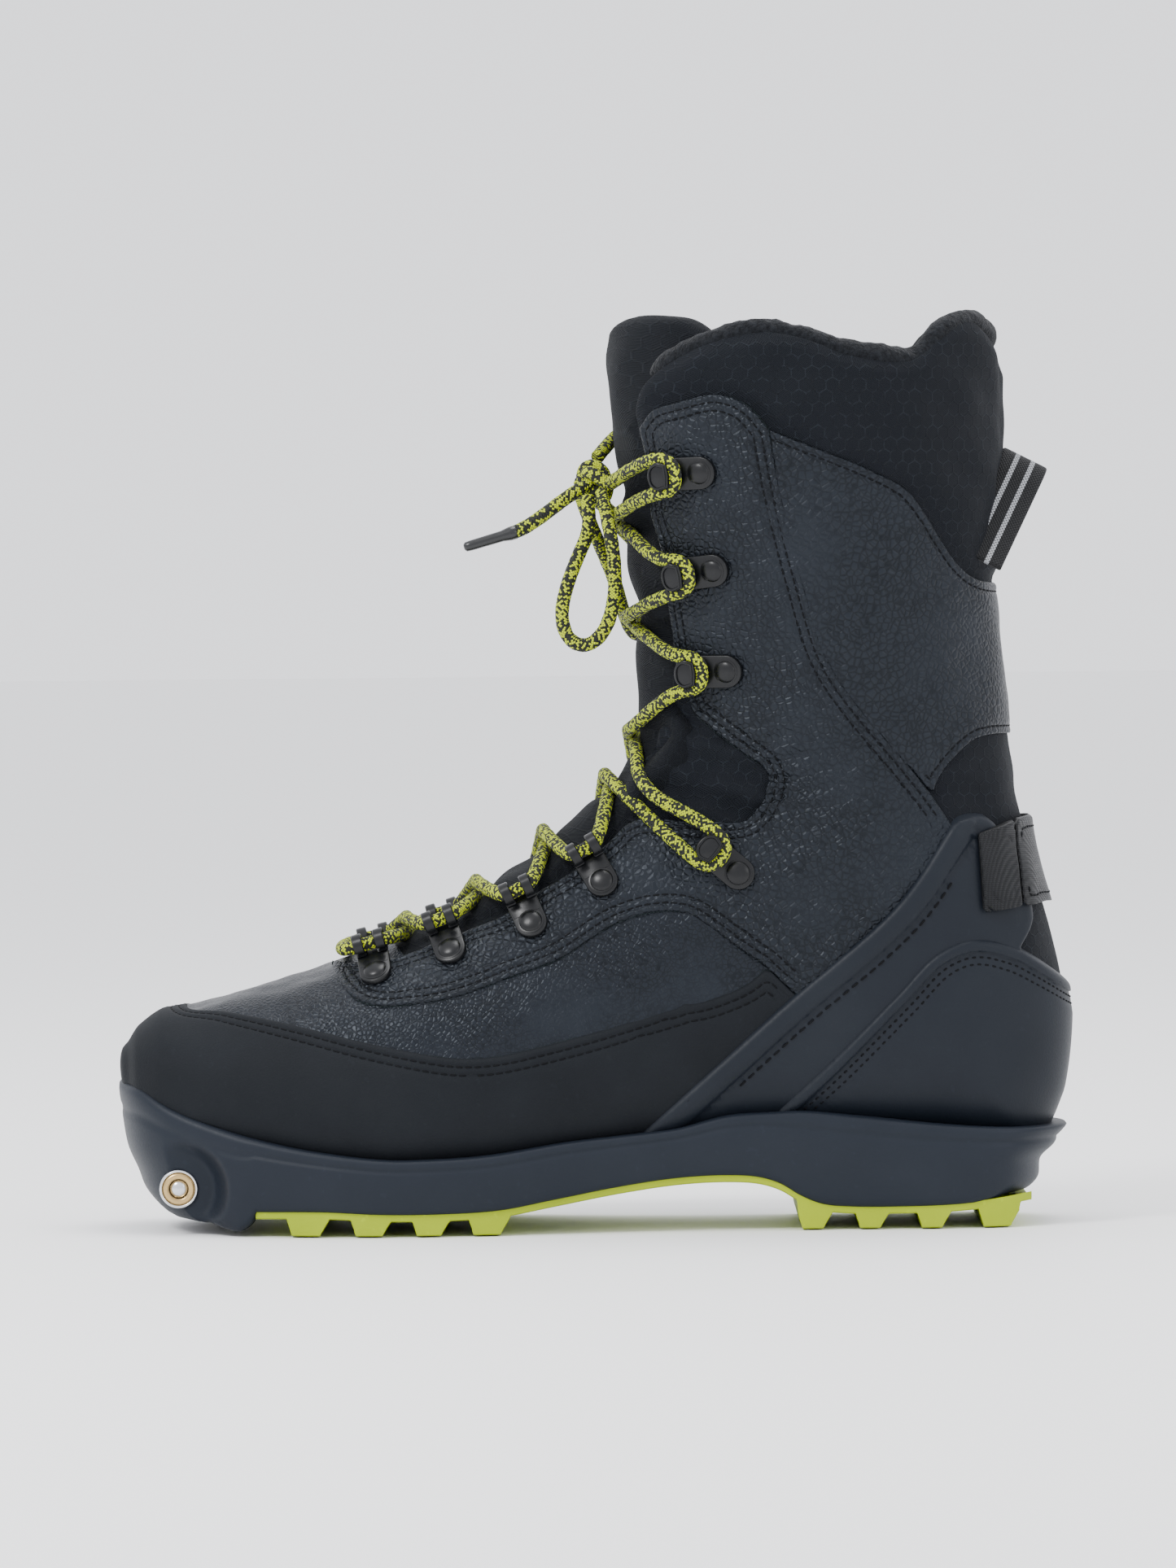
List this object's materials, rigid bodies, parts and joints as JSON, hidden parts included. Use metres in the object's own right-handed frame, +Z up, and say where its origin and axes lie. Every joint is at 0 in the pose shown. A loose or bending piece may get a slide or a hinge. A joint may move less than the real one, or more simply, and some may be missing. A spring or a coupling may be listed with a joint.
{
  "type": "cross country ski boot",
  "caption": "High laced back-country ski boot with a moulded sole, toe bar for the binding, diagonal support frame, strap and leaning shaft.",
  "frame": {"origin": "on the floor under the middle of the boot", "axes": "+Z up, toe along -X, lateral side along -Y"},
  "size_m": [0.303, 0.1093, 0.288],
  "materials": {
    "aglet": "heat-shrunk tip",
    "axle_steel": "machined bar",
    "black_metal": "gloss black",
    "board": "lasting board",
    "bush_brass": "polished ring",
    "foam": "foam",
    "footbed": "felt covered foam",
    "frame_grey": "matte moulded TPU",
    "hook_patch": "hook tape",
    "lace": "braided lime and black lace",
    "leather": "pebbled leather",
    "lining": "fleece lining",
    "rand_rubber": "fine textured rubberised rand",
    "shank_fibre": "moulded composite",
    "sole_grey": "matte moulded TPU",
    "stiffener": "thermoplastic sheet",
    "strap": "coated strap",
    "textile": "ripstop textile",
    "tongue_textile": "quilted ripstop textile",
    "tread_lime": "lime rubber outsole",
    "vamp_leather": "smooth oiled leather",
    "webbing": "woven webbing with two silver stripes"
  },
  "bodies": {
    "boot_foot": {"achilles_panel": "textile", "ankle_hook_lateral": "black_metal", "ankle_hook_medial": "black_metal", "axle_bushes": "bush_brass", "binding_axle": "axle_steel", "flex_insert_lateral": "textile", "flex_insert_medial": "textile", "footbed": "footbed", "heel_counter": "stiffener", "heel_cup": "frame_grey", "lace_loop_lateral_1": "black_metal", "lace_loop_lateral_2": "black_metal", "lace_loop_lateral_3": "black_metal", "lace_loop_lateral_4": "black_metal", "lace_loop_medial_1": "black_metal", "lace_loop_medial_2": "black_metal", "lace_loop_medial_3": "black_metal", "lace_loop_medial_4": "black_metal", "lace_lower": "lace", "lasting_board": "board", "lining_foot": "lining", "lower_rivets": "black_metal", "padding_foot": "foam", "quarter_lateral": "leather", "quarter_medial": "leather", "shank": "shank_fibre", "sole_frame": "sole_grey", "strap_band": "strap", "strap_hook_patch": "hook_patch", "support_frame_lateral": "frame_grey", "support_frame_medial": "frame_grey", "toe_puff": "stiffener", "toe_rand": "rand_rubber", "tongue_lower": "tongue_textile", "tread": "tread_lime", "vamp": "vamp_leather"},
    "shaft": {"aglets": "aglet", "bow_knot": "lace", "bow_loop_far": "lace", "bow_loop_near": "lace", "collar": "textile", "lace_tail_far": "lace", "lace_tail_near": "lace", "lace_upper": "lace", "lining_shaft": "lining", "padding_shaft": "foam", "rear_cuff": "leather", "shaft_front_lateral": "leather", "shaft_front_medial": "leather", "tongue_upper": "tongue_textile", "upper_hook_lateral_1": "black_metal", "upper_hook_lateral_2": "black_metal", "upper_hook_lateral_3": "black_metal", "upper_hook_medial_1": "black_metal", "upper_hook_medial_2": "black_metal", "upper_hook_medial_3": "black_metal", "upper_rivets": "black_metal"},
    "strap_end": {"strap_flap": "strap"},
    "loop": {"pull_loop": "webbing"}
  },
  "joints": [
    {"name": "shaft_flex", "type": "hinge", "parent": "boot_foot", "child": "shaft", "pos_m": [0.075, 0, 0.1], "axis": [0, -1, 0], "range_deg": [-5, 15], "stiffness_Nm_per_rad": 40, "deforming": ["achilles_panel", "flex_insert_lateral", "flex_insert_medial", "lace_lower", "lace_upper", "lining_foot", "lining_shaft", "padding_foot", "padding_shaft", "quarter_lateral", "quarter_medial", "rear_cuff", "shaft_front_lateral", "shaft_front_medial", "tongue_lower", "tongue_upper"]},
    {"name": "strap_open", "type": "hinge", "parent": "boot_foot", "child": "strap_end", "pos_m": [0.13395, -0.027, 0.1135], "axis": [-0.072, 0.2076, 0.9756], "range_deg": [0, 50]},
    {"name": "pull_loop_fold", "type": "hinge", "parent": "shaft", "child": "loop", "pos_m": [0.1215, 0, 0.2095], "axis": [0, 1, 0], "range_deg": [0, 45], "stiffness_Nm_per_rad": 0.02}
  ]
}
